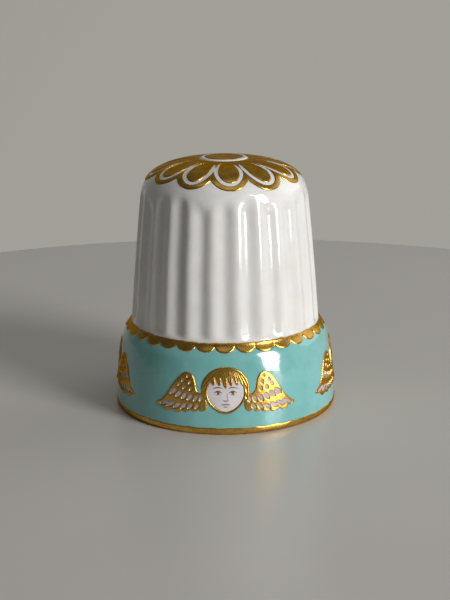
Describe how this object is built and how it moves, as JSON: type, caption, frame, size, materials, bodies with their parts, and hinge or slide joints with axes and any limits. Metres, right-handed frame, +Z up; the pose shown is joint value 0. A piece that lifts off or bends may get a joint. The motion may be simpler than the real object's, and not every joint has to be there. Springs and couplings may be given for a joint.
{
  "type": "thimble",
  "caption": "Bone-china sewing thimble with a fluted wall, a domed crown with a gilt rosette, and a turquoise band with gilt winged heads, hollow for a fingertip.",
  "frame": {"origin": "centre of the foot ring, on the surface that the thimble stands on", "axes": "+Z up the thimble's axis towards the crown, -Y towards the head taken as the front"},
  "size_m": [0.0248, 0.0248, 0.0273],
  "materials": {
    "china": "glossy clear glaze over translucent white bone china",
    "turquoise_enamel": "glossy fired turquoise enamel",
    "gilding": "burnished fired gold",
    "face_enamel": "glossy white enamel with a lilac tint"
  },
  "bodies": {
    "root": {"china_body": "china", "enamel_band": "turquoise_enamel", "gilt_foot_line": "gilding", "gilt_scallop_border": "gilding", "gilt_rosette_border": "gilding", "gilt_petal_01": "gilding", "gilt_petal_02": "gilding", "gilt_petal_03": "gilding", "gilt_petal_04": "gilding", "gilt_petal_05": "gilding", "gilt_petal_06": "gilding", "gilt_petal_07": "gilding", "gilt_petal_08": "gilding", "gilt_petal_09": "gilding", "gilt_petal_10": "gilding", "gilt_petal_11": "gilding", "gilt_petal_12": "gilding", "gilt_crown_disc": "gilding", "front_face_ground": "face_enamel", "front_gilt_hair": "gilding", "front_gilt_wing_a": "gilding", "front_gilt_wing_b": "gilding", "right_face_ground": "face_enamel", "right_gilt_hair": "gilding", "right_gilt_wing_a": "gilding", "right_gilt_wing_b": "gilding", "back_face_ground": "face_enamel", "back_gilt_hair": "gilding", "back_gilt_wing_a": "gilding", "back_gilt_wing_b": "gilding", "left_face_ground": "face_enamel", "left_gilt_hair": "gilding", "left_gilt_wing_a": "gilding", "left_gilt_wing_b": "gilding"}
  },
  "joints": []
}
